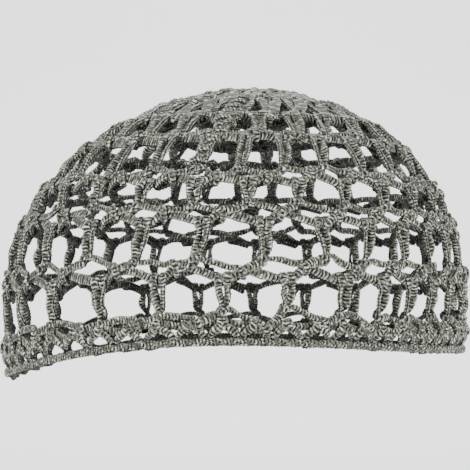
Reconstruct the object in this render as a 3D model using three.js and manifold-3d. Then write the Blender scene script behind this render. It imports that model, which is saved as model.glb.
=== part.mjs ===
// Crochet hair snood: an open net of ribbon yarn, worked in rounds from the crown down to a close rim band.
// It has the form that it takes when it is worn. Millimetres, +Z up, and the front faces -Y.
// The origin is the innermost point of the crown's inside.
import * as THREE from "three";
import { mergeVertices } from "three/addons/utils/BufferGeometryUtils.js";
import Module from "manifold-3d";

const wasm = await Module();
wasm.setup();

// The hollow inside of the net.
const HOLLOW_HALF_WIDTH = 79;
const HOLLOW_HALF_LENGTH = 94;
const CROWN_HEIGHT = 71.5; // from the widest level up to the inside of the crown
const SKIRT_HEIGHT = 15; // from the widest level down to the rim, at the front
const RIM_TUCK = 1.2; // how far the rim is drawn in below the widest level
const CROWN_LEAN = 6.4; // how far the widest level lies to the left of the crown's centre
const SIDE_DROP = 8.2; // how far the rim dips at the sides
const SIDE_DROP_SKEW = 4.5; // how much more it dips on the left, and less on the right
const DROP_START = 0.6; // the share of the meridian below which the dip begins

// The ribbon yarn, as it lies in the stitches.
const NET_THICKNESS = 3.8; // through two crossing strands
const POST_TOP_WIDTH = 5.4; // two strands side by side where they hook into the round above
const POST_FOOT_WIDTH = 4.4;
const CHAIN_WIDTH = 4.4;
const CHAIN_DIP = 3.6; // how far a chain sags between two posts of its round
const OUTER_SHARE = 0.72; // how wide a strand is on its outer side, as a share of its inner side
const CLEARANCE = 0.3; // between two pieces that touch

const STITCHES = 26; // posts in each round of the net
const DIP_PLACE = 0.65; // where a chain's lowest point lies, as a share of the way to the next post

// The rounds of the net. chain: how far down the meridian the round's chain lies, as a share of its length.
// turn: degrees by which the posts are turned to the right. gather: degrees by which they lag on the right.
// crowd: degrees by which they close up at the front and back. dip: the chain's sag, as a share of CHAIN_DIP.
// Each round's posts hang in the gaps of the round before.
const ROUNDS = [
  { name: "crown_gather", chain: 0.363, turn: 10, gather: 0, crowd: 0, dip: 0.7 },
  { name: "mesh_round_1", chain: 0.458, turn: 10.8, gather: 0, crowd: 1.5, dip: 0.8 },
  { name: "mesh_round_2", chain: 0.575, turn: 12, gather: 0, crowd: 5, dip: 1 },
  { name: "mesh_round_3", chain: 0.68, turn: 8.5, gather: 8, crowd: 2, dip: 1 },
  { name: "mesh_round_4", chain: 0.815, turn: 6.3, gather: 16, crowd: 0, dip: 1 },
  { name: "mesh_round_5", chain: 0.942, turn: 4.6, gather: 22, crowd: 0, dip: 0 },
];

// Where the gathering starts, is greatest and has gone again, in degrees from the front towards the right.
const GATHER_START = 10;
const GATHER_PEAK = 95;
const GATHER_END = 370;

// The crown's middle and the rim band.
const START_RING_RADIUS = 4.2; // along the surface, to the middle of the ring's strand
const START_RING_WIDTH = 4.6;
const START_RING_STITCHES = 13;
const GATHER_DEPTH = 1.3; // between two gathered columns of the crown
const EDGE_HEIGHT = 2.6;
const BAND_BULGE = 0.8; // of each close stitch of the band
const BAND_STITCHES_PER_GAP = 2;

const DOME_LENGTH = (CROWN_HEIGHT * Math.PI) / 2;
const MERIDIAN = DOME_LENGTH + SKIRT_HEIGHT;
const SLOPE_STEP = 0.01; // the small step over which the surface's slopes are taken, in millimetres or radians

// How far the surface sinks at one turn: turn 0 is the front and a quarter turn is the right.
function sideDrop(turn, down) {
  const share = Math.max(0, (down / MERIDIAN - DROP_START) / (1 - DROP_START));
  return (SIDE_DROP - SIDE_DROP_SKEW * Math.sin(turn)) * Math.sin(turn) ** 2 * share ** 2;
}

// A point of the net's inner surface. down is the way from the crown's centre along the meridian.
function innerPoint(turn, down) {
  const polar = Math.min(down, DOME_LENGTH) / CROWN_HEIGHT;
  const below = Math.max(0, down - DOME_LENGTH);
  const tuck = (RIM_TUCK * below) / SKIRT_HEIGHT;
  const wide = Math.sin(polar);
  return new THREE.Vector3(
    (HOLLOW_HALF_WIDTH * wide - tuck) * Math.sin(turn) - CROWN_LEAN * wide ** 2,
    -(HOLLOW_HALF_LENGTH * wide - tuck) * Math.cos(turn),
    CROWN_HEIGHT * (Math.cos(polar) - 1) - below - sideDrop(turn, down),
  );
}

// The surface's slopes at a point: the way per millimetre down, and the way per radian round.
function innerSlopes(turn, down) {
  const difference = (a, b) => a.sub(b).divideScalar(2 * SLOPE_STEP);
  return {
    along: difference(innerPoint(turn, down + SLOPE_STEP), innerPoint(turn, down - SLOPE_STEP)),
    round: difference(innerPoint(turn + SLOPE_STEP, down), innerPoint(turn - SLOPE_STEP, down)),
  };
}

// The same point, moved out along the surface's normal.
function netPoint(turn, down, out) {
  const { along, round } = innerSlopes(turn, down);
  return innerPoint(turn, down).addScaledVector(along.cross(round).normalize(), out);
}

// The share of the gathering reached at a turn, in degrees from the front towards the right.
function gatherShare(degrees) {
  const place = THREE.MathUtils.euclideanModulo(degrees - GATHER_START, 360);
  const rise = GATHER_PEAK - GATHER_START;
  const fall = GATHER_END - GATHER_PEAK;
  if (place < rise) return (1 - Math.cos((Math.PI * place) / rise)) / 2;
  if (place < rise + fall) return (1 + Math.cos((Math.PI * (place - rise)) / fall)) / 2;
  return 0;
}

// The turn of post number i of a round, in radians. Every other round is half a gap further.
function postTurn(round, i) {
  const even = (360 / STITCHES) * (i + (round % 2) / 2);
  const { turn, gather, crowd } = ROUNDS[round];
  const crowding = crowd * Math.sin(2 * THREE.MathUtils.degToRad(even));
  return THREE.MathUtils.degToRad(even + turn - gather * gatherShare(even) - crowding);
}

// The chain of a round: its high points at the posts' feet and its low points between them.
function chainStations(round) {
  const { chain, dip } = ROUNDS[round];
  const stations = [];
  for (let i = 0; i < STITCHES; i++) {
    const foot = postTurn(round, i);
    const next = i + 1 < STITCHES ? postTurn(round, i + 1) : postTurn(round, 0) + 2 * Math.PI;
    const half = (CHAIN_DIP * dip) / 2;
    stations.push({ turn: foot, down: chain * MERIDIAN - half });
    stations.push({ turn: foot + DIP_PLACE * (next - foot), down: chain * MERIDIAN + half });
  }
  return stations;
}

// How far down a round's chain is at any turn.
function chainDown(round, turn) {
  const stations = chainStations(round);
  const first = stations[0].turn;
  const at = first + THREE.MathUtils.euclideanModulo(turn - first, 2 * Math.PI);
  stations.push({ turn: first + 2 * Math.PI, down: stations[0].down });
  const k = stations.findIndex((s, i) => i > 0 && s.turn >= at);
  const [a, b] = [stations[k - 1], stations[k]];
  return THREE.MathUtils.mapLinear(at, a.turn, b.turn, a.down, b.down);
}

// A strand's section: flat inside and narrower outside, as [across, out] points.
function strandSection(width, thickness, grow = 0) {
  const half = width / 2 + grow;
  const flat = half * OUTER_SHARE;
  return [
    [-half, -grow],
    [-flat, thickness + grow],
    [flat, thickness + grow],
    [half, -grow],
  ];
}

// A closed body through rings of equal size: its ends are capped, or it closes on itself.
// Seen along the way that the rings follow, each ring's points run clockwise.
function loft(rings, closed) {
  const sides = rings[0].length;
  const spans = closed ? rings.length : rings.length - 1;
  const index = [];
  for (let r = 0; r < spans; r++) {
    for (let s = 0; s < sides; s++) {
      const a = r * sides + s;
      const b = r * sides + ((s + 1) % sides);
      const c = ((r + 1) % rings.length) * sides + s;
      const d = ((r + 1) % rings.length) * sides + ((s + 1) % sides);
      index.push(a, b, c, b, d, c);
    }
  }
  if (!closed) {
    const last = (rings.length - 1) * sides;
    for (let s = 1; s + 1 < sides; s++) {
      index.push(0, s + 1, s);
      index.push(last, last + s, last + s + 1);
    }
  }
  const geometry = new THREE.BufferGeometry().setFromPoints(rings.flat());
  geometry.setIndex(index);
  return geometry;
}

// A geometry as a manifold-3d solid.
function solid(geometry) {
  const merged = mergeVertices(geometry);
  const triVerts = new Uint32Array(merged.index.array);
  const vertProperties = merged.attributes.position.array;
  return new wasm.Manifold(new wasm.Mesh({ numProp: 3, vertProperties, triVerts }));
}

// A ring right round the net, with its section across the meridian at each station.
function ringSolid(stations, section) {
  return solid(
    loft(
      stations.map(({ turn, down }) => section.map(([across, out]) => netPoint(turn, down + across, out))),
      true,
    ),
  );
}

function chainSolid(round, grow = 0) {
  return ringSolid(chainStations(round), strandSection(CHAIN_WIDTH, NET_THICKNESS, grow));
}

// A post, from the middle of the chain above to the middle of its own chain.
function postSolid(round, i) {
  const turn = postTurn(round, i);
  const top = chainDown(round - 1, turn);
  const foot = chainDown(round, turn);
  const ring = (down, width) => {
    const girth = innerSlopes(turn, down).round.length();
    const section = strandSection(width, NET_THICKNESS - CLEARANCE);
    return section.map(([across, out]) => netPoint(turn - across / girth, down, out));
  };
  return solid(loft([ring(top, POST_TOP_WIDTH), ring(foot, POST_FOOT_WIDTH)], false));
}

// One round of the net: its posts and its chain, clear of the chain that it hangs from.
function meshRound(round) {
  let posts = postSolid(round, 0);
  for (let i = 1; i < STITCHES; i++) posts = posts.add(postSolid(round, i));
  return posts.subtract(chainSolid(round - 1, CLEARANCE)).add(chainSolid(round));
}

// The gathered rounds of the crown: ridged by the columns of stitches, and ended by their last chain.
function crownGather() {
  const top = START_RING_RADIUS + START_RING_WIDTH / 2 + CLEARANCE;
  const half = CHAIN_WIDTH / 2;
  const rings = chainStations(0).map(({ turn, down }, i) => {
    const hollow = NET_THICKNESS - (i % 2 ? GATHER_DEPTH : 0);
    const middle = (top + down) / 2;
    const section = [
      [top, 0],
      [top, hollow],
      [middle, hollow],
      [down - half, hollow],
      [down - half * OUTER_SHARE, NET_THICKNESS],
      [down + half * OUTER_SHARE, NET_THICKNESS],
      [down + half, 0],
      [middle, 0],
    ];
    return section.map(([place, out]) => netPoint(turn, place, out));
  });
  return solid(loft(rings, true));
}

// The ring of stitches that the work starts from, round a small hole.
function startRing() {
  const stations = Array.from({ length: START_RING_STITCHES }, (_, i) => ({
    turn: (2 * Math.PI * i) / START_RING_STITCHES,
    down: START_RING_RADIUS,
  }));
  return ringSolid(stations, strandSection(START_RING_WIDTH, NET_THICKNESS));
}

// The close row of stitches below the net, each one bulging a little.
function bandRound() {
  const last = ROUNDS.length - 1;
  const top = ROUNDS[last].chain * MERIDIAN + CHAIN_WIDTH / 2 + CLEARANCE;
  const bottom = MERIDIAN - EDGE_HEIGHT - CLEARANCE;
  const steps = 2 * BAND_STITCHES_PER_GAP;
  const rings = [];
  for (let i = 0; i < steps * STITCHES; i++) {
    const turn = postTurn(last, i / steps);
    const out = NET_THICKNESS - (i % 2 ? BAND_BULGE : 0);
    rings.push([
      netPoint(turn, top, 0),
      netPoint(turn, top, out),
      netPoint(turn, bottom, out),
      netPoint(turn, bottom, 0),
    ]);
  }
  return solid(loft(rings, true));
}

// The rolled strand along the rim's lower edge.
function bandEdge() {
  const stations = Array.from({ length: 2 * STITCHES }, (_, i) => ({
    turn: (Math.PI * i) / STITCHES,
    down: MERIDIAN - EDGE_HEIGHT / 2,
  }));
  return ringSolid(stations, strandSection(EDGE_HEIGHT, NET_THICKNESS));
}

const ribbonYarn = new THREE.MeshStandardMaterial({ color: 0x757771, roughness: 0.72, metalness: 0.1 });
const closeYarn = new THREE.MeshStandardMaterial({ color: 0x6d6f69, roughness: 0.76, metalness: 0.1 });

const snood = new THREE.Group();

// A solid as a named mesh of the assembly.
function addPiece(name, body, material) {
  const mesh = body.getMesh();
  const geometry = new THREE.BufferGeometry();
  geometry.setAttribute("position", new THREE.BufferAttribute(new Float32Array(mesh.vertProperties), 3));
  geometry.setIndex(new THREE.BufferAttribute(new Uint32Array(mesh.triVerts), 1));
  geometry.computeVertexNormals();
  const piece = new THREE.Mesh(geometry, material);
  piece.name = name;
  snood.add(piece);
}

addPiece("start_ring", startRing(), closeYarn);
addPiece(ROUNDS[0].name, crownGather(), closeYarn);
for (let round = 1; round < ROUNDS.length; round++) addPiece(ROUNDS[round].name, meshRound(round), ribbonYarn);
addPiece("band_round", bandRound(), closeYarn);
addPiece("band_edge", bandEdge(), closeYarn);

export default snood;
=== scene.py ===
"""Crochet hair snood: an open net of ribbon yarn, laid stitch by stitch over the frame's rounds.

Every round of the work is one piece of real yarn. The stitches' yarn is a table of points, each placed
from the anchors of its stitch, and a ribbon section is carried along the smooth curve through them.
Lengths are millimetres in the classes of the yarn and metres in those of the studio, and the meshes are
made in metres.
"""

import logging
from dataclasses import dataclass
from enum import Enum, auto

import bpy
import numpy as np
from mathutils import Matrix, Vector


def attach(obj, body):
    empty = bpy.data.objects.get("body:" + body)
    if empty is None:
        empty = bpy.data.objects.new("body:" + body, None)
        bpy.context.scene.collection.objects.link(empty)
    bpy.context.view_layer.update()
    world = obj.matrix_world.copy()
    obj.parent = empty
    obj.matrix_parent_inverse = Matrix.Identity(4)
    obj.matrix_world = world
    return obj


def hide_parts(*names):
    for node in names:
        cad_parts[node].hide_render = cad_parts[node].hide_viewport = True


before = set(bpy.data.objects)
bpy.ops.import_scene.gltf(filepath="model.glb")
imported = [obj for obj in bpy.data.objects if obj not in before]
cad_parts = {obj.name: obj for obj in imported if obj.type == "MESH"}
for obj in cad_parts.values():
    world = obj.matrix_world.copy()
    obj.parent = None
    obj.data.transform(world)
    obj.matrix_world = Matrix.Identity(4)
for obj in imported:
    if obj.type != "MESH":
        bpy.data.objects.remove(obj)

MM = 0.001
TINY = 1e-9
CIRCLE = 360.0
SLOT = "ribbon_yarn"
UV_MAP = "UVMap"
# Heights out from the net's inner surface, which the yarn's material turns into painted shade.
HEIGHT_ATTRIBUTE = "net_height"
SHADER = "Principled BSDF"
BLACK = (0.0, 0.0, 0.0, 1.0)
WHITE = (1.0, 1.0, 1.0, 1.0)
LOG = logging.getLogger("snood")

Triple = tuple[float, float, float]
Tube = tuple[np.ndarray, np.ndarray, np.ndarray]


def unit(vectors: np.ndarray) -> np.ndarray:
    """The vectors scaled to length one."""
    return vectors / np.maximum(np.linalg.norm(vectors, axis=-1, keepdims=True), TINY)


def mix(a: np.ndarray, b: np.ndarray, share: float) -> np.ndarray:
    """The values a share of the way from a to b."""
    return a + share * (b - a)


def full_turn(index: np.ndarray) -> np.ndarray:
    """A whole turn for the first stitch, whose neighbour before it is the round's last, else none."""
    return np.where(index == 0, 2 * np.pi, 0.0)


def strand(place: np.ndarray, across: np.ndarray, width: float, thick: float) -> np.ndarray:
    """Knots of one width and thickness, from their places and the ways in which the width lies."""
    size = np.full((len(place), 2), (width, thick))
    return np.concatenate([place, across, size], axis=1)


@dataclass(frozen=True)
class NetForm:
    """The inner surface that the net lies on: a leaning half dome over a short skirt.

    A point is given by its turn (radians from the front towards the right), its way down the meridian
    from the crown's middle, and its height out from the surface.
    """

    half_width: float = 79.0
    half_length: float = 94.0
    crown_height: float = 71.5
    skirt_height: float = 15.0
    rim_tuck: float = 1.2
    crown_lean: float = 6.4
    side_drop: float = 8.2
    side_drop_skew: float = 4.5
    drop_start: float = 0.6
    slope_step: float = 0.01

    @property
    def dome_length(self) -> float:
        """Length of a meridian from the crown's middle to the widest level."""
        return self.crown_height * np.pi / 2

    @property
    def meridian(self) -> float:
        """Length of a whole meridian, down to the rim."""
        return self.dome_length + self.skirt_height

    def inner(self, turn: np.ndarray, down: np.ndarray) -> np.ndarray:
        """Points of the inner surface.

        The dome is a quarter circle carried round an ellipse, the skirt goes straight down and in a
        little, and the lower part sinks at the sides with the square of the turn's sine.

        Args:
            turn: radians from the front towards the right.
            down: millimetres down the meridian.

        Returns:
            An array with x, y and z in its last axis.
        """
        polar = np.minimum(down, self.dome_length) / self.crown_height
        below = np.maximum(down - self.dome_length, 0.0)
        tuck = self.rim_tuck * below / self.skirt_height
        wide = np.sin(polar)
        share = np.maximum((down / self.meridian - self.drop_start) / (1 - self.drop_start), 0.0)
        drop = (self.side_drop - self.side_drop_skew * np.sin(turn)) * np.sin(turn) ** 2 * share**2
        x = (self.half_width * wide - tuck) * np.sin(turn) - self.crown_lean * wide**2
        y = -(self.half_length * wide - tuck) * np.cos(turn)
        z = self.crown_height * (np.cos(polar) - 1) - below - drop
        return np.stack([x, y, z], axis=-1)

    def height(self, points: np.ndarray) -> np.ndarray:
        """Millimetres from the inner surface out to points near it.

        The surface is near half an ellipsoid above the widest level and an upright elliptic tube below
        it. A point's height is its distance from the middle, less that distance over its scaled radius.

        Args:
            points: one row for each point.

        Returns:
            The heights.
        """
        level = np.maximum(points[:, 2] + self.crown_height, 0.0)
        wide = 1 - np.minimum(level / self.crown_height, 1.0) ** 2
        from_middle = np.stack([points[:, 0] + self.crown_lean * wide, points[:, 1], level], axis=1)
        radii = (self.half_width, self.half_length, self.crown_height)
        scaled = np.linalg.norm(from_middle / radii, axis=1)
        return np.linalg.norm(from_middle, axis=1) * (1 - 1 / np.maximum(scaled, TINY))

    def axes(
        self, turn: np.ndarray, down: np.ndarray
    ) -> tuple[np.ndarray, np.ndarray, np.ndarray, np.ndarray]:
        """The surface's own directions at some points, from central differences.

        Args:
            turn: radians from the front towards the right.
            down: millimetres down the meridian.

        Returns:
            Unit vectors to the right, down and outwards, and the millimetres per radian of turn.
        """
        h = self.slope_step
        right = (self.inner(turn + h, down) - self.inner(turn - h, down)) / (2 * h)
        below = (self.inner(turn, down + h) - self.inner(turn, down - h)) / (2 * h)
        out = unit(np.cross(below, right))
        return unit(right), unit(below), out, np.linalg.norm(right, axis=-1)

    def place(self, turn: np.ndarray, down: np.ndarray, out: np.ndarray) -> np.ndarray:
        """Points at a height out from the inner surface."""
        normal = self.axes(turn, down)[2]
        return self.inner(turn, down) + normal * np.asarray(out)[..., None]


# Where the lag of the posts on the right starts and where it is full, in degrees of turn.
GATHER_START = 10.0
GATHER_PEAK = 95.0


@dataclass(frozen=True)
class Round:
    """One round of stitches, with the chain below its posts.

    chain is how far down the meridian that chain lies, as a share of its length. turn is how far the
    round is turned in degrees, and shift by how many posts it is set off. gather and crowd are the most
    degrees that post_turn moves a post by. foot, joint and hook are millimetres from the chain's line
    down to the posts' feet, to the joints between them, and to where the next round's posts hook in.
    fullness widens the posts and bar the chain's bar, lift is how far the bar's face is raised towards
    the viewer, and tilt is the share of the posts' own slant that their strands keep, 0 for flat ones.
    """

    name: str
    stitches: int
    chain: float
    turn: float
    gather: float
    crowd: float
    shift: float
    foot: float
    joint: float
    hook: float
    fullness: float = 1.0
    lift: float = 0.0
    tilt: float = 1.0
    bar: float = 1.0

    def down(self, form: NetForm) -> float:
        """Millimetres down the meridian to the chain's line."""
        return self.chain * form.meridian

    def post_turn(self, index: np.ndarray) -> np.ndarray:
        """Turn of some posts.

        The posts are evenly spaced, then lag by gather degrees where a cosine bump is full, and close
        up at the front and back by crowd times the sine of twice the turn.

        Args:
            index: the posts' numbers, which may lie between two posts.

        Returns:
            The turns in radians.
        """
        even = CIRCLE / self.stitches * (np.asarray(index, dtype=float) + self.shift)
        place = np.mod(even - GATHER_START, CIRCLE)
        rise = GATHER_PEAK - GATHER_START
        fall = CIRCLE - rise
        bump = np.where(
            place < rise,
            (1 - np.cos(np.pi * place / rise)) / 2,
            (1 + np.cos(np.pi * (place - rise) / fall)) / 2,
        )
        closer = self.crowd * np.sin(2 * np.radians(even))
        return np.radians(even + self.turn - self.gather * bump - closer)


FORM = NetForm()

# Columns: name, stitches, chain, turn, gather, crowd, shift, foot, joint, hook, fullness, lift, tilt, bar.
START = Round("start_ring", 13, 0.0, 10.0, 0.0, 0.0, 0.0, 0.0, 4.0, 5.4)
ROUNDS = (
    Round("crown_1", 13, 0.120, 10.0, 0.0, 0.0, 0.0, -0.8, 0.0, 0.6, 1.1, 0.8, 0.2, 1.3),
    Round("crown_2", 26, 0.232, 10.0, 0.0, 0.0, 0.5, -0.8, 0.2, 0.8, 1.15, 1.0, 0.2, 1.5),
    Round("crown_3", 26, 0.343, 10.0, 0.0, 0.0, 0.0, -1.0, 0.2, 1.2, 1.35, 1.0, 0.2, 1.5),
    Round("mesh_round_1", 26, 0.438, 10.8, 0.0, 1.5, 0.5, -1.4, 0.2, 1.6, 1.1, 0.6, 0.6, 1.2),
    Round("mesh_round_2", 26, 0.575, 12.0, 0.0, 5.0, 0.0, -2.6, 0.2, 2.8, 1.0, 0.3),
    Round("mesh_round_3", 26, 0.680, 8.5, 8.0, 2.0, 0.5, -3.0, 0.2, 3.2),
    Round("mesh_round_4", 26, 0.815, 6.3, 16.0, 0.0, 0.0, -3.4, 0.0, 3.4),
    Round("mesh_round_5", 26, 0.942, 4.6, 22.0, 0.0, 0.5, -3.2, 0.3, 1.2),
)
BAND = Round("band_round", 52, 0.990, 4.6, 22.0, 0.0, 0.5, 0.0, 0.0, 0.0)

# The first rounds of the table make up the crown, and each of the others is a round of the open net.
CROWN_ROUNDS = 3


@dataclass(frozen=True)
class Hand:
    """How evenly the yarn is worked.

    wander and wobble are how far the anchors and the single points stray, in millimetres, and uneven is
    how much the yarn's size varies, all as standard deviations. rise scales the heights that the yarn
    stands out from the net's inner surface.
    """

    wander: float
    wobble: float
    uneven: float
    rise: float = 1.0


CROWN_HAND = Hand(0.8, 0.3, 0.1, rise=0.78)
NET_HAND = Hand(0.7, 0.22, 0.09)
BAND_HAND = Hand(0.3, 0.13, 0.06)

# A round of the table has its own number as its seed, and POINT_SEEDS is added for its single points.
BAND_SEED = 20
POINT_SEEDS = 100


class Near(Enum):
    """The places of a stitch that its yarn's points are measured from."""

    LAST_LOW = auto()
    LAST_JOINT = auto()
    LAST_FOOT = auto()
    FOOT = auto()
    HOOK = auto()
    LOW = auto()
    JOINT = auto()


@dataclass(frozen=True)
class Lay:
    """One point of a stitch's yarn.

    The point lies share of the way from one anchor to another, then right, down and out from there, in
    millimetres. across is the way in which the ribbon's width lies, as right, down and out.
    """

    start: Near
    end: Near
    share: float
    right: float
    down: float
    out: float
    across: Triple
    width: float
    thick: float


# One post: from the last joint to the foot, up its left half, round the chain above, down its right
# half, round the foot, along the chain to the joint, and over the joint.
POST_YARN = (
    Lay(Near.LAST_LOW, Near.LAST_JOINT, 0.30, 0.0, 1.2, 0.8, (0.5, 0.85, 0.0), 2.4, 1.3),
    Lay(Near.LAST_LOW, Near.LAST_JOINT, 0.58, 0.0, 0.3, 2.7, (0.5, 0.85, 0.0), 2.7, 1.4),
    Lay(Near.LAST_JOINT, Near.LAST_JOINT, 0.0, 0.0, -0.3, 2.9, (0.5, 0.85, 0.0), 2.8, 1.4),
    Lay(Near.LAST_JOINT, Near.FOOT, 0.5, 0.0, 0.1, 2.1, (0.55, 0.82, 0.0), 2.9, 1.5),
    Lay(Near.FOOT, Near.FOOT, 0.0, -1.0, 1.1, 1.9, (0.8, 0.55, 0.0), 2.6, 1.5),
    Lay(Near.FOOT, Near.HOOK, 0.14, -0.7, 0.0, 1.9, (0.8, 0.1, -0.6), 2.4, 1.4),
    Lay(Near.FOOT, Near.HOOK, 0.5, -1.1, 0.0, 2.1, (0.65, 0.0, -0.76), 3.2, 1.3),
    Lay(Near.HOOK, Near.HOOK, 0.0, -1.3, 1.8, 2.6, (0.75, 0.0, -0.66), 2.6, 1.3),
    Lay(Near.HOOK, Near.HOOK, 0.0, -1.35, -0.1, 3.3, (1.0, 0.0, 0.0), 2.7, 1.3),
    Lay(Near.HOOK, Near.HOOK, 0.0, -1.2, -1.9, 2.0, (1.0, 0.0, 0.0), 2.5, 1.3),
    Lay(Near.HOOK, Near.HOOK, 0.0, -0.9, -0.5, 0.5, (1.0, 0.0, 0.0), 1.8, 1.1),
    Lay(Near.HOOK, Near.HOOK, 0.0, 0.0, 1.2, 0.6, (0.0, -1.0, 0.0), 1.5, 1.2),
    Lay(Near.HOOK, Near.HOOK, 0.0, 0.9, -0.5, 0.5, (-1.0, 0.0, 0.0), 1.8, 1.1),
    Lay(Near.HOOK, Near.HOOK, 0.0, 1.2, -1.9, 2.0, (-1.0, 0.0, 0.0), 2.5, 1.3),
    Lay(Near.HOOK, Near.HOOK, 0.0, 1.4, 0.0, 3.3, (-1.0, 0.0, 0.0), 2.7, 1.3),
    Lay(Near.HOOK, Near.HOOK, 0.0, 1.3, 2.0, 2.6, (-0.75, 0.0, -0.66), 2.6, 1.3),
    Lay(Near.FOOT, Near.HOOK, 0.5, 1.1, 0.0, 2.2, (-0.65, 0.0, -0.76), 3.2, 1.3),
    Lay(Near.FOOT, Near.HOOK, 0.24, 0.8, 0.0, 1.6, (-0.8, -0.1, -0.5), 2.4, 1.3),
    Lay(Near.FOOT, Near.FOOT, 0.0, -0.6, -0.5, 0.5, (-0.7, -0.7, 0.0), 1.9, 1.2),
    Lay(Near.FOOT, Near.FOOT, 0.0, -2.1, 0.4, 1.3, (0.0, -1.0, 0.0), 1.9, 1.4),
    Lay(Near.FOOT, Near.FOOT, 0.0, -0.6, 0.7, 3.3, (0.0, -1.0, 0.0), 2.2, 1.3),
    Lay(Near.FOOT, Near.FOOT, 0.0, 1.5, 0.1, 2.2, (0.0, -1.0, 0.0), 1.9, 1.4),
    Lay(Near.FOOT, Near.JOINT, 0.40, 0.0, -0.7, 1.8, (0.0, -1.0, 0.3), 2.1, 1.5),
    Lay(Near.FOOT, Near.JOINT, 0.75, 0.0, -0.8, 2.2, (0.0, -1.0, 0.3), 2.1, 1.4),
    Lay(Near.JOINT, Near.JOINT, 0.0, -0.5, -1.1, 3.6, (0.6, -0.8, 0.0), 2.0, 1.3),
    Lay(Near.JOINT, Near.JOINT, 0.0, 0.4, 0.6, 3.8, (0.85, -0.5, 0.0), 2.1, 1.3),
    Lay(Near.JOINT, Near.JOINT, 0.0, 0.5, 1.9, 2.3, (1.0, 0.0, 0.0), 2.0, 1.3),
    Lay(Near.LOW, Near.JOINT, 0.85, 0.0, 1.0, 0.4, (0.8, 0.6, 0.0), 1.9, 1.1),
)

# The chain's thick bar, from joint to joint by way of the low point between them.
BAR_YARN = (
    Lay(Near.LAST_JOINT, Near.LAST_JOINT, 0.0, 0.2, 0.0, 1.4, (0.0, -1.0, 0.0), 2.4, 1.4),
    Lay(Near.LAST_JOINT, Near.LOW, 0.5, 0.0, -0.4, 1.9, (0.0, -1.0, 0.0), 3.1, 1.5),
    Lay(Near.LOW, Near.LOW, 0.0, 0.0, 0.0, 1.9, (0.0, -1.0, 0.0), 2.3, 1.6),
    Lay(Near.LOW, Near.JOINT, 0.5, 0.0, 0.0, 1.2, (0.0, -1.0, 0.0), 2.4, 1.4),
)

# One close stitch of the band: up from its foot, over the chain above on both sides, and down again.
CLOSE_YARN = (
    Lay(Near.LAST_FOOT, Near.FOOT, 0.55, 0.0, 0.2, 0.9, (0.0, 1.0, 0.2), 1.6, 1.2),
    Lay(Near.FOOT, Near.FOOT, 0.0, -1.2, -0.5, 1.4, (0.9, 0.3, 0.0), 1.9, 1.3),
    Lay(Near.FOOT, Near.HOOK, 0.42, -1.2, 0.0, 2.5, (0.95, -0.3, 0.0), 2.1, 1.2),
    Lay(Near.LAST_FOOT, Near.FOOT, 0.74, 0.0, -3.9, 3.2, (0.75, -0.65, 0.0), 2.6, 1.2),
    Lay(Near.LAST_FOOT, Near.FOOT, 0.55, 0.0, -5.2, 3.2, (0.5, -0.85, 0.0), 2.8, 1.2),
    Lay(Near.LAST_FOOT, Near.FOOT, 0.5, 0.0, -7.2, 2.2, (1.0, -0.3, 0.0), 2.3, 1.2),
    Lay(Near.LAST_FOOT, Near.FOOT, 0.7, 0.0, -5.2, 0.4, (0.0, -1.0, 0.0), 1.6, 1.1),
    Lay(Near.FOOT, Near.LOW, 0.18, 0.0, -5.2, 0.4, (0.0, -1.0, 0.0), 1.6, 1.1),
    Lay(Near.FOOT, Near.LOW, 0.42, 0.0, -7.2, 2.2, (-1.0, -0.2, 0.0), 2.3, 1.2),
    Lay(Near.FOOT, Near.LOW, 0.4, 0.0, -5.1, 3.2, (-0.5, -0.85, 0.0), 2.8, 1.2),
    Lay(Near.FOOT, Near.LOW, 0.24, 0.0, -3.8, 3.1, (-0.75, -0.65, 0.0), 2.6, 1.2),
    Lay(Near.FOOT, Near.HOOK, 0.4, 0.9, 0.0, 2.4, (-0.95, -0.3, 0.0), 2.1, 1.2),
    Lay(Near.FOOT, Near.FOOT, 0.0, 1.0, -0.5, 1.5, (-0.9, 0.3, 0.0), 1.9, 1.3),
    Lay(Near.FOOT, Near.FOOT, 0.0, 0.4, 0.2, 0.8, (0.0, 1.0, 0.2), 1.6, 1.2),
)


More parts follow.
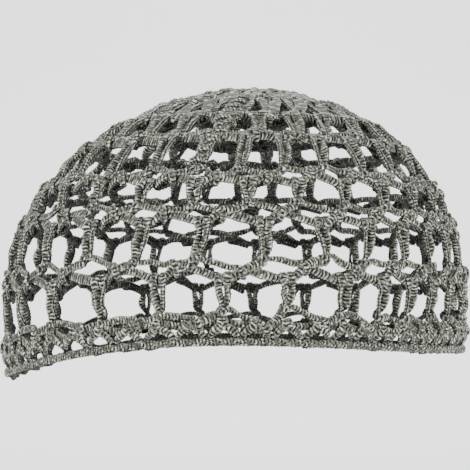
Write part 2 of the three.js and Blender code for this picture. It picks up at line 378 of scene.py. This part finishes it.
@dataclass(frozen=True)
class Ribbon:
    """How the knitted ribbon is carried along its path.

    rib_relief is how far every other ring is raised, rib_slant how far the faces lag behind the edges
    as a share of a rib, and squareness the power that fills out the section's corners.
    """

    sides: int = 8
    rib_pitch: float = 1.1
    rib_relief: float = 0.13
    rib_slant: float = 0.35
    squareness: float = 0.8
    curve_steps: int = 10

    def smooth(self, knots: np.ndarray) -> np.ndarray:
        """Dense samples of the closed curve through the knots.

        Each span is a cubic Hermite curve whose end slopes are the chord-weighted means of the slopes
        on both sides, over the knots' chord lengths.

        Args:
            knots: one row for each knot, its place in the first three columns.

        Returns:
            Rows of the same columns, curve_steps for each knot.
        """
        following = np.roll(knots, -1, axis=0)
        chord = np.maximum(np.linalg.norm(following[:, :3] - knots[:, :3], axis=1), TINY)[:, None]
        slope = (following - knots) / chord
        before = np.roll(slope, 1, axis=0)
        last = np.roll(chord, 1, axis=0)
        tangent = (before * chord + slope * last) / (chord + last)
        after = np.roll(tangent, -1, axis=0)
        t = (np.arange(self.curve_steps) / self.curve_steps)[None, :, None]
        spans = (
            (2 * t**3 - 3 * t**2 + 1) * knots[:, None]
            + (t**3 - 2 * t**2 + t) * (tangent * chord)[:, None]
            + (3 * t**2 - 2 * t**3) * following[:, None]
            + (t**3 - t**2) * (after * chord)[:, None]
        )
        return spans.reshape(-1, knots.shape[1])

    def rings(self, knots: np.ndarray) -> np.ndarray:
        """The curve's samples at two rings for each rib, evenly spaced along its length.

        Args:
            knots: one row for each knot, its place in the first three columns.

        Returns:
            Rows of the same columns, one for each ring.
        """
        dense = self.smooth(knots)
        closed = np.vstack([dense, dense[:1]])
        steps = np.linalg.norm(np.diff(closed[:, :3], axis=0), axis=1)
        length = np.concatenate([[0.0], np.cumsum(steps)])
        count = 2 * int(round(length[-1] / self.rib_pitch))
        places = np.arange(count) * length[-1] / count
        return np.stack([np.interp(places, length, closed[:, c]) for c in range(closed.shape[1])], axis=1)

    def surface(self, rings: np.ndarray) -> np.ndarray:
        """Vertices of the rounded oblong sections.

        A section's width follows the across vector made square to the path, and every other ring is a
        little larger, so that the ribbon has ribs.

        Args:
            rings: rows of place (3), across (3), width and thickness.

        Returns:
            One row for each vertex, ring after ring.
        """
        way = unit(np.roll(rings[:, :3], -1, axis=0) - np.roll(rings[:, :3], 1, axis=0))
        across = rings[:, 3:6]
        across = unit(across - way * np.sum(across * way, axis=1, keepdims=True))
        face = np.cross(way, across)
        relief = self.rib_relief * np.where(np.arange(len(rings)) % 2, 1.0, -1.0)
        angle = 2 * np.pi * np.arange(self.sides) / self.sides
        flat = np.sign(np.cos(angle)) * np.abs(np.cos(angle)) ** self.squareness
        high = np.sign(np.sin(angle)) * np.abs(np.sin(angle)) ** self.squareness
        half_width = (rings[:, 6] / 2 + relief)[:, None, None] * flat[None, :, None]
        half_thick = (rings[:, 7] / 2 + relief)[:, None, None] * high[None, :, None]
        back = self.rib_slant * self.rib_pitch * np.abs(np.cos(angle))[None, :, None]
        verts = rings[:, None, :3] + across[:, None] * half_width + face[:, None] * half_thick
        return (verts - way[:, None] * back).reshape(-1, 3)

    def tube(self, knots: np.ndarray) -> Tube:
        """A closed ribbon tube along the knots.

        Args:
            knots: rows of place (3), across (3), width and thickness.

        Returns:
            Vertices, quads, and the UV of each quad corner: ribs along and the share of the way round.
        """
        rings = self.rings(knots)
        count = len(rings)
        ring, side = np.meshgrid(np.arange(count), np.arange(self.sides), indexing="ij")
        here, there = ring * self.sides, (ring + 1) % count * self.sides
        next_side = (side + 1) % self.sides
        quads = np.stack([here + side, there + side, there + next_side, here + next_side], axis=-1)
        along = np.stack([ring, ring + 1, ring + 1, ring], axis=-1) / 2.0
        around = np.stack([side, side, side + 1, side + 1], axis=-1) / self.sides
        uvs = np.stack([along, around], axis=-1)
        return self.surface(rings), quads.reshape(-1, 4), uvs.reshape(-1, 2)


@dataclass
class YarnPiece:
    """Tubes of ribbon gathered into one mesh object."""

    name: str
    ribbon: Ribbon

    def __post_init__(self) -> None:
        """Start with no tubes."""
        self.tubes: list[Tube] = []

    def add(self, knots: np.ndarray) -> None:
        """Carry the ribbon along one closed row of knots."""
        self.tubes.append(self.ribbon.tube(knots))

    def build(self, material: bpy.types.Material) -> bpy.types.Object:
        """Join the tubes into one mesh in metres, with smooth faces, its UV map and its heights.

        Args:
            material: the yarn's material.

        Returns:
            The object, at the origin.
        """
        counts = np.cumsum([0] + [len(verts) for verts, _, _ in self.tubes])
        points = np.vstack([verts for verts, _, _ in self.tubes])
        quads = np.vstack([quads + start for (_, quads, _), start in zip(self.tubes, counts)])
        uvs = np.vstack([uv for _, _, uv in self.tubes])
        mesh = bpy.data.meshes.new(self.name)
        mesh.vertices.add(len(points))
        mesh.vertices.foreach_set("co", (points * MM).ravel())
        mesh.loops.add(quads.size)
        mesh.loops.foreach_set("vertex_index", quads.ravel())
        mesh.polygons.add(len(quads))
        mesh.polygons.foreach_set("loop_start", np.arange(0, quads.size, 4))
        mesh.polygons.foreach_set("use_smooth", np.ones(len(quads), dtype=bool))
        mesh.update(calc_edges=True)
        mesh.uv_layers.new(name=UV_MAP).data.foreach_set("uv", uvs.ravel())
        # The heights drive the yarn's painted shade deep in the net.
        heights = mesh.attributes.new(HEIGHT_ATTRIBUTE, "FLOAT", "POINT")
        heights.data.foreach_set("value", FORM.height(points))
        mesh.materials.append(material)
        piece = bpy.data.objects.new(self.name, mesh)
        bpy.context.scene.collection.objects.link(piece)
        LOG.info("%s: %d triangles", self.name, 2 * len(quads))
        return piece


@dataclass(frozen=True)
class NetRound:
    """The yarn of one round: its posts with their thin strands, and the chain's thick bar.

    joint_from_foot and joint_from_low are where the joints lie between two feet and two low points,
    and low_from_foot is where a low point lies between two feet, as shares of the way.
    """

    form: NetForm
    above: Round
    this: Round
    below: Round
    hand: Hand
    seed: int
    joint_from_foot: float = 0.65
    joint_from_low: float = 0.3
    low_from_foot: float = 0.35

    def lows(self, index: np.ndarray) -> np.ndarray:
        """Turn of the bar's low points: under the next round's posts if there are as many.

        Args:
            index: the stitches' numbers.

        Returns:
            The turns in radians.
        """
        if self.below.stitches == self.this.stitches:
            return self.below.post_turn(index + 2 * self.this.shift)
        return self.this.post_turn(index + self.low_from_foot)

    def joints(self, index: np.ndarray) -> np.ndarray:
        """Turn of the joints: the mean of a share of the way between feet and between low points.

        Args:
            index: the stitches' numbers.

        Returns:
            The turns in radians.
        """
        by_foot = mix(self.this.post_turn(index), self.this.post_turn(index + 1), self.joint_from_foot)
        by_low = mix(self.lows(index), self.lows(index + 1), self.joint_from_low)
        return (by_foot + by_low) / 2

    def anchors(self) -> dict[Near, tuple[np.ndarray, np.ndarray]]:
        """Every stitch's anchors, the feet and joints each a little off their even places.

        The posts hook in at the low points of the round above, or, where that round has fewer
        stitches, half way between its low points and its joints.

        Returns:
            Turn and way down of each anchor, one value for each stitch.
        """
        size = self.this.stitches
        index = np.arange(size)
        rng = np.random.default_rng(self.seed)
        foot_aside, foot_off, joint_aside, joint_off = rng.normal(0.0, self.hand.wander, (4, size))
        line = self.this.down(self.form)
        foot = self.this.post_turn(index)
        girth = self.form.axes(foot, np.full(size, line))[3]
        foot_turn = foot + foot_aside / girth
        foot_down = line + self.this.foot + foot_off
        joint_turn = self.joints(index) + joint_aside / girth
        joint_down = line + self.this.joint + joint_off
        low_down = np.full(size, line + self.this.hook)
        before = -full_turn(index)
        hook_depth = self.above.hook
        if self.above.stitches != size:
            hook_depth = (self.above.joint + self.above.hook) / 2
        return {
            Near.LAST_LOW: (self.lows(index - 1), low_down),
            Near.LAST_JOINT: (np.roll(joint_turn, 1) + before, np.roll(joint_down, 1)),
            Near.LAST_FOOT: (np.roll(foot_turn, 1) + before, np.roll(foot_down, 1)),
            Near.FOOT: (foot_turn, foot_down),
            Near.HOOK: (foot, np.full(size, self.above.down(self.form) + hook_depth)),
            Near.LOW: (self.lows(index), low_down),
            Near.JOINT: (joint_turn, joint_down),
        }

    def knots(
        self, table: tuple[Lay, ...], fullness: float = 1.0, lift: float = 0.0, tilt: float = 1.0
    ) -> np.ndarray:
        """Knots of the yarn that the table describes, stitch after stitch.

        Args:
            table: the points of one stitch.
            fullness: by how much the yarn is wider, and its places further to the sides.
            lift: how far the ribbon's width is tipped outwards.
            tilt: the share of the table's own tip in or out that the width keeps.

        Returns:
            Rows of place (3), across (3), width and thickness.
        """
        anchors = self.anchors()
        rng = np.random.default_rng(self.seed + POINT_SEEDS)
        turn = np.stack([mix(anchors[p.start][0], anchors[p.end][0], p.share) for p in table], axis=1)
        down = np.stack([mix(anchors[p.start][1], anchors[p.end][1], p.share) for p in table], axis=1)
        drift = rng.normal(0.0, self.hand.wobble, (3, *turn.shape))
        girth = self.form.axes(turn, down)[3]
        turn = turn + (fullness * np.array([p.right for p in table]) + drift[0]) / girth
        down = down + np.array([p.down for p in table]) + drift[1]
        height = self.hand.rise * np.array([p.out for p in table]) + drift[2]
        right, below, out, _ = self.form.axes(turn, down)
        place = self.form.inner(turn, down) + out * height[..., None]
        lie = np.array([p.across for p in table])
        tip = tilt * lie[:, 2, None] + lift
        across = right * lie[:, 0, None] + below * lie[:, 1, None] + out * tip
        scatter = rng.normal(1.0, self.hand.uneven, (*turn.shape, 1))
        size = np.array([(p.width * fullness, p.thick) for p in table]) * scatter
        return np.concatenate([place, across, size], axis=-1).reshape(-1, 8)

    def add_to(self, piece: YarnPiece) -> None:
        """Lay this round's posts and bar into a piece."""
        piece.add(self.knots(POST_YARN, self.this.fullness, tilt=self.this.tilt))
        piece.add(self.knots(BAR_YARN, self.this.bar, self.this.lift))

    def add_close_to(self, piece: YarnPiece) -> None:
        """Lay this round as close stitches into a piece."""
        piece.add(self.knots(CLOSE_YARN))


@dataclass(frozen=True)
class Edge:
    """The rolled rim: a flat core, and two strands wound round each other in front of it.

    down is the way down the meridian to the rim's middle. swing and depth are how far the two strands
    go up and down and in and out, and out is the height of their middle.
    """

    down: float = 126.0
    core_out: float = 1.3
    core_width: float = 2.5
    core_thick: float = 1.7
    swing: float = 0.5
    depth: float = 0.4
    out: float = 2.5
    width: float = 1.6
    thick: float = 1.2
    steps: int = 8

    def add_to(self, piece: YarnPiece, form: NetForm, follow: Round) -> None:
        """Lay the core and both strands into a piece.

        Each strand is a wave: down goes with the sine of the wind and out with its cosine. The two
        strands lie half a wind apart.

        Args:
            piece: the piece that takes them.
            form: the net's inner surface.
            follow: the round whose stitches the winds follow, one wind for each stitch.
        """
        index = np.arange(follow.stitches * self.steps) / self.steps
        turn = follow.post_turn(index)
        core = (np.full_like(turn, self.down), np.full_like(turn, self.core_out))
        strands = [(*core, self.core_width, self.core_thick)]
        for start in (0.0, 0.5):
            wind = 2 * np.pi * (index + start)
            down = self.down + self.swing * np.sin(wind)
            strands.append((down, self.out + self.depth * np.cos(wind), self.width, self.thick))
        for down, out, width, thick in strands:
            below = form.axes(turn, down)[1]
            piece.add(strand(form.place(turn, down, out), below, width, thick))


@dataclass(frozen=True)
class Seam:
    """A climb where rounds were closed: yarn wound down a slanting line and led back up.

    The turns are degrees, the ways down and all other lengths millimetres. pitch is the length of a
    wind, reach and depth are how far the winds go to the sides and in and out, out is the height of
    their middle, and margin is the share of the line that the way back leaves free at both ends.
    """

    top_turn: float
    top_down: float
    low_turn: float
    low_down: float
    pitch: float = 4.6
    reach: float = 1.5
    depth: float = 1.5
    out: float = 2.4
    width: float = 2.4
    thick: float = 1.3
    margin: float = 0.05
    steps: int = 6

    def add_to(self, piece: YarnPiece, form: NetForm) -> None:
        """Lay the winding and its way back into a piece.

        Args:
            piece: the piece that takes them.
            form: the net's inner surface.
        """
        winds = round((self.low_down - self.top_down) / self.pitch)
        onward = np.linspace(0.0, 1.0, winds * self.steps + 1)
        wind = 2 * np.pi * winds * onward
        back = np.linspace(1 - self.margin, self.margin, winds + 1)
        share = np.concatenate([onward, back])
        side = np.concatenate([self.reach * np.cos(wind), np.zeros_like(back)])
        out = np.concatenate([self.out + self.depth * np.sin(wind), np.full_like(back, self.out)])
        down = mix(self.top_down, self.low_down, share)
        turn = np.radians(mix(self.top_turn, self.low_turn, share))
        turn = turn + side / form.axes(turn, down)[3]
        below = form.axes(turn, down)[1]
        piece.add(strand(form.place(turn, down, out), below, self.width, self.thick))


CROWN_CLIMB = Seam(-5.0, 31.0, -9.5, 50.5, pitch=4.0, reach=2.5, depth=1.2, out=2.6)
NET_CLIMB = Seam(-4.6, 45.0, -14.0, 71.5)


@dataclass(frozen=True)
class StartRing:
    """The ring that the work starts from: yarn wound round and round a small ring."""

    radius: float = 4.4
    winds: int = 13
    reach: float = 1.7
    height: float = 1.6
    depth: float = 1.0
    width: float = 2.0
    thick: float = 1.3
    steps: int = 6

    def add_to(self, piece: YarnPiece) -> None:
        """Lay the winding into a piece: a helix bent into a ring.

        Args:
            piece: the piece that takes it.
        """
        index = np.arange(self.winds * self.steps) / self.steps
        turn = 2 * np.pi * index / self.winds
        wind = 2 * np.pi * index
        far = self.radius + self.reach * np.cos(wind)
        high = self.height + self.depth * np.sin(wind)
        place = np.stack([far * np.sin(turn), -far * np.cos(turn), high], axis=1)
        across = np.stack([np.cos(turn), np.sin(turn), np.zeros_like(turn)], axis=1)
        piece.add(strand(place, across, self.width, self.thick))


class NodeTree:
    """A short way to add and link the nodes of one shader tree."""

    # The Mix node's sockets for colours: the share, both colours, and the result.
    MIX_INPUTS = (0, 6, 7)
    MIX_RESULT = 2

    def __init__(self, tree: bpy.types.NodeTree) -> None:
        """Keep the tree."""
        self.tree = tree

    def node(self, kind: str, **settings: object) -> bpy.types.Node:
        """Add a node.

        Args:
            kind: the node's type.
            settings: properties to set on it.

        Returns:
            The node.
        """
        made = self.tree.nodes.new(kind)
        for name, value in settings.items():
            setattr(made, name, value)
        return made

    def feed(self, value: object, socket: bpy.types.NodeSocket) -> None:
        """Give an input its value.

        Args:
            value: a socket to link from, or a plain value.
            socket: the input.
        """
        if isinstance(value, bpy.types.NodeSocket):
            self.tree.links.new(value, socket)
        else:
            socket.default_value = value

    def math(self, operation: str, *values: object) -> bpy.types.NodeSocket:
        """The result of one Math node.

        Args:
            operation: the node's operation.
            values: its inputs, as sockets or numbers.

        Returns:
            The output socket.
        """
        made = self.node("ShaderNodeMath", operation=operation)
        for value, socket in zip(values, made.inputs):
            self.feed(value, socket)
        return made.outputs[0]

    def from_floor(self, value: object, low: float) -> bpy.types.NodeSocket:
        """A value of 0 to 1 brought into low to 1."""
        return self.math("MULTIPLY_ADD", value, 1 - low, low)

    def remap(self, value: object, low: float, high: float) -> bpy.types.NodeSocket:
        """A smooth step.

        Args:
            value: the socket that it follows.
            low: where the step is 0.
            high: where it is 1.

        Returns:
            The output socket.
        """
        made = self.node("ShaderNodeMapRange", interpolation_type="SMOOTHSTEP")
        self.feed(value, made.inputs["Value"])
        made.inputs["From Min"].default_value = low
        made.inputs["From Max"].default_value = high
        return made.outputs["Result"]

    def mix(self, share: object, first: object, second: object, blend: str = "MIX") -> bpy.types.NodeSocket:
        """A colour between the first and the second.

        Args:
            share: how far the result goes from the first towards the blended colour.
            first: the first colour.
            second: the second colour.
            blend: how the second is blended with the first.

        Returns:
            The output socket.
        """
        made = self.node("ShaderNodeMix", data_type="RGBA", blend_type=blend)
        for value, number in zip((share, first, second), self.MIX_INPUTS):
            self.feed(value, made.inputs[number])
        return made.outputs[self.MIX_RESULT]

    def plane(self, *parts: object) -> bpy.types.NodeSocket:
        """A vector from its first two parts.

        Args:
            parts: the way along the ribbon and the way across.

        Returns:
            The output socket.
        """
        made = self.node("ShaderNodeCombineXYZ")
        for value, socket in zip(parts, made.inputs):
            self.feed(value, socket)
        return made.outputs[0]

    def noise(self, place: bpy.types.NodeSocket, scale: float, detail: float) -> bpy.types.NodeSocket:
        """A noise texture's value.

        Args:
            place: where it is read.
            scale: the noise's scale.
            detail: its number of finer layers.

        Returns:
            The output socket.
        """
        made = self.node("ShaderNodeTexNoise")
        self.feed(place, made.inputs["Vector"])
        made.inputs["Scale"].default_value = scale
        made.inputs["Detail"].default_value = detail
        return made.outputs["Fac"]


@dataclass(frozen=True)
class Grain:
    """A noise, by its scale and detail, and the values that a smooth step over it runs between."""

    scale: float
    detail: float
    low: float = 0.0
    high: float = 1.0


class Knit(Enum):
    """What the knit group puts out."""

    RIB = "Rib"
    PLY = "Ply"
    FLECK = "Fleck"
    TONE = "Tone"
    RAIL = "Rail"
    # The mask of the painted shade at the ribbon's sides.
    EDGE = "Edge"
    HEIGHT = "Height"


@dataclass(frozen=True)
class KnitGroup:
    """A node group that reads the ribbon's UV map and puts out its ribs, flecks and height.

    The UV map counts ribs along the ribbon and the share of the way round it. A rib is a raised
    cosine wave, crossed by finer plies, and the flecks are short streaks of noise along the plies.
    Across each face, edge and rail are measured from 0 at the face's middle to 1 at its sides; edge
    places painted shade at the sides, and rail, a raised band, also places a painted highlight.
    """

    rib_length: float = 1.1
    girth: float = 7.0
    streak_along: float = 1.7
    streak_across: float = 0.6
    fleck: Grain = Grain(1.0, 1.5, 0.50, 0.64)
    ply: Grain = Grain(1.1, 1.0, 0.38, 0.56)
    fibre: Grain = Grain(3.0, 2.0)
    tone: Grain = Grain(0.16, 2.0)
    fibre_relief: float = 0.45
    edge_shade_from: float = 0.7
    edge_shade_to: float = 0.92
    rail_at: float = 0.6
    rail_full: float = 0.04
    rail_gone: float = 0.2
    rail_relief: float = 0.3

    def sockets(self) -> bpy.types.NodeTree:
        """An empty group with the sockets that it needs.

        Returns:
            The group's tree.
        """
        tree = bpy.data.node_groups.new("knit_ribbon", "ShaderNodeTree")
        for name, value in (("Rib Length", self.rib_length), ("Girth", self.girth)):
            socket = tree.interface.new_socket(name, in_out="INPUT", socket_type="NodeSocketFloat")
            socket.default_value = value
        for part in Knit:
            tree.interface.new_socket(part.value, in_out="OUTPUT", socket_type="NodeSocketFloat")
        return tree

    def build(self) -> bpy.types.NodeTree:
        """Build the group once.

        Returns:
            The group's tree.
        """
        tree = self.sockets()
        make = NodeTree(tree)
        given = make.node("NodeGroupInput")
        put = make.node("NodeGroupOutput")
        split = make.node("ShaderNodeSeparateXYZ")
        make.feed(make.node("ShaderNodeUVMap", uv_map=UV_MAP).outputs[0], split.inputs[0])
        ribs, around = split.outputs[0], split.outputs[1]
        across = make.math("MULTIPLY", around, given.outputs["Girth"])
        place = make.plane(make.math("MULTIPLY", ribs, given.outputs["Rib Length"]), across)
        streak = make.plane(
            make.math("MULTIPLY", ribs, self.streak_along),
            make.math("MULTIPLY", across, self.streak_across),
        )
        fleck = make.noise(streak, self.fleck.scale, self.fleck.detail)
        ply = make.noise(place, self.ply.scale, self.ply.detail)
        fibre = make.noise(place, self.fibre.scale, self.fibre.detail)
        halves = make.math("FRACT", make.math("MULTIPLY", around, 2.0))
        fold = make.math("ABSOLUTE", make.math("MULTIPLY_ADD", halves, 2.0, -1.0))
        off_rail = make.math("ABSOLUTE", make.math("SUBTRACT", fold, self.rail_at))
        rail = make.math("SUBTRACT", 1.0, make.remap(off_rail, self.rail_full, self.rail_gone))
        wave = make.math("COSINE", make.math("MULTIPLY", ribs, 2 * np.pi))
        rib = make.math("MULTIPLY_ADD", wave, -0.5, 0.5)
        rib = make.math("MAXIMUM", rib, make.math("MULTIPLY", rail, self.rail_relief))
        found = {
            Knit.RIB: rib,
            Knit.PLY: make.remap(ply, self.ply.low, self.ply.high),
            Knit.FLECK: make.remap(fleck, self.fleck.low, self.fleck.high),
            Knit.TONE: make.noise(place, self.tone.scale, self.tone.detail),
            Knit.RAIL: rail,
            Knit.EDGE: make.remap(fold, self.edge_shade_from, self.edge_shade_to),
            Knit.HEIGHT: make.math("MULTIPLY_ADD", fibre, self.fibre_relief, rib),
        }
        for part, value in found.items():
            make.feed(value, put.inputs[part.value])
        return tree


@dataclass(frozen=True)
class YarnFinish:
    """Grey-green knitted ribbon with pale flecks, painted shade in its grooves, at its edges and deep in
    the net, and a painted highlight along its rails.

    painted_groove_shade, body and crest are the colours of the grooves, the ribs and the flecks; the
    grooves' colour is painted shade. The ply, the tone and the painted shade deep in the net each leave
    at least their floor of the light, and painted_shade_full and painted_shade_end are the heights, in
    millimetres, where that painted shade is full and where it ends.
    """

    # Painted shade: the near-black colour that the rib grooves are painted with.
    painted_groove_shade: Triple = (0.008, 0.009, 0.0065)
    body: Triple = (0.132, 0.137, 0.109)
    crest: Triple = (0.74, 0.75, 0.66)
    rib_from: float = 0.1
    rib_to: float = 0.75
    ply_floor: float = 0.6
    edge_painted_shade: float = 0.85
    rail_painted_highlight: float = 0.4
    groove_fleck: float = 0.2
    tone_from: float = 0.3
    tone_to: float = 0.7
    tone_floor: float = 0.75
    painted_shade_floor: float = 0.18
    painted_shade_full: float = 0.5
    painted_shade_end: float = 2.5
    roughness: float = 0.55
    fleck_polish: float = 0.15
    sheen: float = 0.03
    gloss: float = 0.1
    bump_strength: float = 0.8
    bump_distance: float = 0.0003

    def colour(self, make: NodeTree, ribbon: dict[Knit, bpy.types.NodeSocket]) -> bpy.types.NodeSocket:
        """The yarn's colour, laid by the ribs, the flecks and the tone, with painted shade in the grooves,
        at the edges and by the height in the net, and a painted highlight along the rails.

        Args:
            make: the material's tree.
            ribbon: what the knit group puts out.

        Returns:
            The colour's socket.
        """
        rise = make.remap(ribbon[Knit.RIB], self.rib_from, self.rib_to)
        rise = make.math("MULTIPLY", rise, make.from_floor(ribbon[Knit.PLY], self.ply_floor))
        # Painted shade at both sides of each face of the ribbon.
        painted_edge_shade = make.math("MULTIPLY_ADD", ribbon[Knit.EDGE], -self.edge_painted_shade, 1.0)
        ribs = make.math("MULTIPLY", rise, painted_edge_shade)
        # Painted shade: the colour falls to the grooves' near-black in the rib grooves, at the ribbon's
        # edges and where the ply is low.
        body = make.mix(ribs, (*self.painted_groove_shade, 1.0), (*self.body, 1.0))
        # Painted highlight: the rails near the ribbon's sides are lifted towards the crest colour, on top
        # of the yarn's pale flecks.
        fleck_and_painted_highlight = make.math("MULTIPLY_ADD", ribbon[Knit.RAIL], self.rail_painted_highlight, ribbon[Knit.FLECK])
        fleck_and_highlight = make.math("MULTIPLY", fleck_and_painted_highlight, make.from_floor(ribs, self.groove_fleck))
        flecked = make.mix(fleck_and_highlight, body, (*self.crest, 1.0))
        # Painted shade deep in the net: yarn near the inner surface, as on the inside of the far side, is
        # darkened down to a floor of its colour.
        height = make.node("ShaderNodeAttribute", attribute_name=HEIGHT_ATTRIBUTE).outputs["Fac"]
        raised = make.remap(height, self.painted_shade_full, self.painted_shade_end)
        tone = make.remap(ribbon[Knit.TONE], self.tone_from, self.tone_to)
        # The tone is the yarn's own uneven colour; the height's part is painted shade.
        shade = make.math(
            "MULTIPLY",
            make.from_floor(tone, self.tone_floor),
            make.from_floor(raised, self.painted_shade_floor),
        )
        return make.mix(1.0, flecked, make.mix(shade, BLACK, WHITE), blend="MULTIPLY")

    def material(self, knit: bpy.types.NodeTree) -> bpy.types.Material:
        """Build the material.

        Args:
            knit: the knit group.

        Returns:
            The yarn's material.
        """
        made = bpy.data.materials.new(SLOT)
        made.use_nodes = True
        make = NodeTree(made.node_tree)
        inputs = made.node_tree.nodes[SHADER].inputs
        group = make.node("ShaderNodeGroup", node_tree=knit)
        ribbon = {part: group.outputs[part.value] for part in Knit}
        make.feed(self.colour(make, ribbon), inputs["Base Color"])
        dull = make.math("MULTIPLY_ADD", ribbon[Knit.FLECK], -self.fleck_polish, self.roughness)
        make.feed(dull, inputs["Roughness"])
        bump = make.node("ShaderNodeBump")
        bump.inputs["Distance"].default_value = self.bump_distance
        bump.inputs["Strength"].default_value = self.bump_strength
        make.feed(ribbon[Knit.HEIGHT], bump.inputs["Height"])
        make.feed(bump.outputs[0], inputs["Normal"])
        inputs["Sheen Weight"].default_value = self.sheen
        inputs["Specular IOR Level"].default_value = self.gloss
        return made


def face(made: bpy.types.Object, way: Vector) -> None:
    """Turn a camera or a light to look along a way."""
    made.rotation_euler = way.to_track_quat("-Z", "Y").to_euler()


@dataclass(frozen=True)
class SoftLight:
    """A square soft light that faces the object, or another aim. size is its side."""

    name: str
    place: Triple
    size: float
    watts: float
    aim: Triple = (0.0, 0.0, -0.05)

    def add(self) -> None:
        """Add the light."""
        data = bpy.data.lights.new(self.name, "AREA")
        data.shape = "SQUARE"
        data.size = self.size
        data.energy = self.watts
        made = bpy.data.objects.new(self.name, data)
        made.location = self.place
        face(made, Vector(self.aim) - Vector(self.place))
        bpy.context.scene.collection.objects.link(made)


LIGHTS = (
    SoftLight("key", (-1.1, -0.95, 0.4), 0.7, 29.0),
    SoftLight("fill", (1.2, -0.85, 0.3), 0.7, 26.0),
    SoftLight("back", (0.2, 1.1, 1.2), 0.8, 2.5),
    SoftLight("backdrop", (0.0, 1.5, 1.9), 1.2, 72.0, aim=(0.0, 2.5, 0.1)),
)


@dataclass(frozen=True)
class Studio:
    """The photograph's view, a pale floor and backdrop, and soft lights.

    field is how wide the picture is at the object, and sensor the camera's sensor in millimetres. The
    floor turns up at bend_from behind the object, in a curve of the radius bend.
    """

    distance: float = 0.7
    eye_height: float = -0.0775
    centre_x: float = -0.0064
    aim_height: float = 0.0291
    field: float = 0.1678
    sensor: float = 36.0
    floor_height: float = -0.22
    floor_size: float = 8.0
    bend: float = 0.6
    bend_from: float = 1.6
    bend_points: int = 13
    floor_grey: float = 0.9
    floor_roughness: float = 0.9
    air: float = 0.6

    def camera(self) -> None:
        """A long lens a little above the rim's level, tipped up to the middle of the picture."""
        data = bpy.data.cameras.new("camera")
        data.sensor_width = self.sensor
        data.lens = self.sensor * self.distance / self.field
        made = bpy.data.objects.new("camera", data)
        made.location = (self.centre_x, -self.distance, self.eye_height)
        face(made, Vector((0.0, self.distance, self.aim_height)))
        bpy.context.scene.collection.objects.link(made)
        bpy.context.scene.camera = made

    def paint(self) -> bpy.types.Material:
        """The floor's pale, dull material.

        Returns:
            The material.
        """
        made = bpy.data.materials.new("floor_pale")
        made.use_nodes = True
        inputs = made.node_tree.nodes[SHADER].inputs
        inputs["Base Color"].default_value = (self.floor_grey, self.floor_grey, self.floor_grey, 1.0)
        inputs["Roughness"].default_value = self.floor_roughness
        return made

    def floor(self) -> None:
        """A wide pale floor that curves up into a backdrop."""
        half = self.floor_size / 2
        wall = self.bend_from + self.bend
        angle = np.linspace(0, np.pi / 2, self.bend_points)
        y = np.concatenate([[-half], self.bend_from + self.bend * np.sin(angle), [wall]])
        z = np.concatenate([[0.0], self.bend * (1 - np.cos(angle)), [half]]) + self.floor_height
        verts = np.vstack([np.stack([np.full_like(y, x), y, z], axis=1) for x in (-half, half)])
        n = len(y)
        faces = [(i, i + n, i + n + 1, i + 1) for i in range(n - 1)]
        mesh = bpy.data.meshes.new("floor")
        mesh.from_pydata(verts.tolist(), [], faces)
        mesh.polygons.foreach_set("use_smooth", np.ones(len(faces), dtype=bool))
        mesh.materials.append(self.paint())
        made = bpy.data.objects.new("floor", mesh)
        bpy.context.scene.collection.objects.link(made)

    def lights(self) -> None:
        """The key light on the left, a weaker one on the right, two behind, and pale air."""
        for light in LIGHTS:
            light.add()
        world = bpy.data.worlds.new("studio")
        bpy.context.scene.world = world
        world.use_nodes = True
        inputs = world.node_tree.nodes["Background"].inputs
        inputs["Color"].default_value = WHITE
        inputs["Strength"].default_value = self.air

    def build(self) -> None:
        """Set up the view, the floor and the lights."""
        self.camera()
        self.floor()
        self.lights()


class Snood:
    """The whole net, round by round."""

    def __init__(self, material: bpy.types.Material) -> None:
        """Keep the yarn's material and its section."""
        self.material = material
        self.ribbon = Ribbon()

    def finish(self, piece: YarnPiece, *nodes: str) -> None:
        """Make a piece stand for its frame nodes.

        Args:
            piece: the piece, with all its yarn.
            nodes: the names of the nodes.
        """
        made = piece.build(self.material)
        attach(made, "root")
        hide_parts(*nodes)

    def net_round(self, number: int) -> NetRound:
        """The stitches of one round of the table; the crown's are the least even.

        Args:
            number: the round's place in the table.

        Returns:
            The round between its neighbours.
        """
        above = ROUNDS[number - 1] if number else START
        below = ROUNDS[number + 1] if number + 1 < len(ROUNDS) else BAND
        hand = CROWN_HAND if number < CROWN_ROUNDS else NET_HAND
        return NetRound(FORM, above, ROUNDS[number], below, hand, number)

    def build(self) -> None:
        """Lay all the rounds, from the start ring down."""
        ring = YarnPiece("start_ring_yarn", self.ribbon)
        StartRing().add_to(ring)
        self.finish(ring, "start_ring")
        crown = YarnPiece("crown_gather_yarn", self.ribbon)
        for number in range(CROWN_ROUNDS):
            self.net_round(number).add_to(crown)
        CROWN_CLIMB.add_to(crown, FORM)
        self.finish(crown, "crown_gather")
        for number in range(CROWN_ROUNDS, len(ROUNDS)):
            piece = YarnPiece(ROUNDS[number].name + "_yarn", self.ribbon)
            self.net_round(number).add_to(piece)
            if number == CROWN_ROUNDS:
                NET_CLIMB.add_to(piece, FORM)
            self.finish(piece, ROUNDS[number].name)
        band = YarnPiece("band_round_yarn", self.ribbon)
        NetRound(FORM, ROUNDS[-1], BAND, BAND, BAND_HAND, BAND_SEED).add_close_to(band)
        self.finish(band, "band_round")
        edge = YarnPiece("band_edge_yarn", self.ribbon)
        Edge().add_to(edge, FORM, BAND)
        self.finish(edge, "band_edge")


def main() -> None:
    """Build the studio and the net."""
    logging.basicConfig(level=logging.INFO, format="%(message)s")
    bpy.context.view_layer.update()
    Studio().build()
    Snood(YarnFinish().material(KnitGroup().build())).build()


if __name__ == "__main__":
    main()
